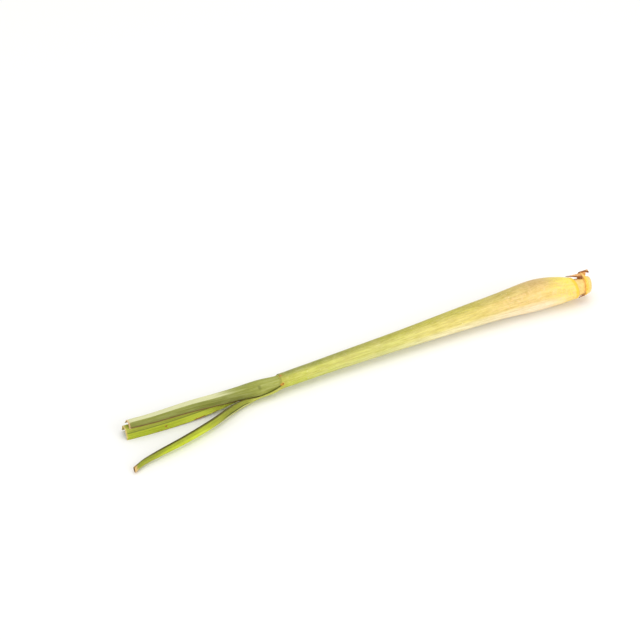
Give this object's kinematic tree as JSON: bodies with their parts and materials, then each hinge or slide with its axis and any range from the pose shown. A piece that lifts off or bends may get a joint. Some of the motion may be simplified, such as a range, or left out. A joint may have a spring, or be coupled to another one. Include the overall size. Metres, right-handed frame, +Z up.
{
  "type": "lemongrass stalk",
  "caption": "Cut lemongrass stalk lying on its side: a pale bulb with a torn brown husk, a long waxy sheath, and nested green leaves cut short above their collars.",
  "frame": {"origin": "centre of the whole stalk's box, on the surface that it lies on", "axes": "+X towards the root end, +Z up from the surface that it lies on, +Y to the side away from the outer leaf's cut blade"},
  "size_m": [0.357, 0.0438, 0.0222],
  "materials": {
    "stem_base": "dry cut stem, matte",
    "dry_husk": "dry and fibrous, matte",
    "sheath": "waxy leaf sheath, satin",
    "second_blade": "ribbed leaf with a pale bloom, satin",
    "third_blade": "young ribbed leaf, satin"
  },
  "bodies": {
    "root": {"stem_base": "stem_base", "husk": "dry_husk", "outer_leaf": "sheath", "second_leaf": "second_blade", "third_leaf": "third_blade"}
  },
  "joints": []
}
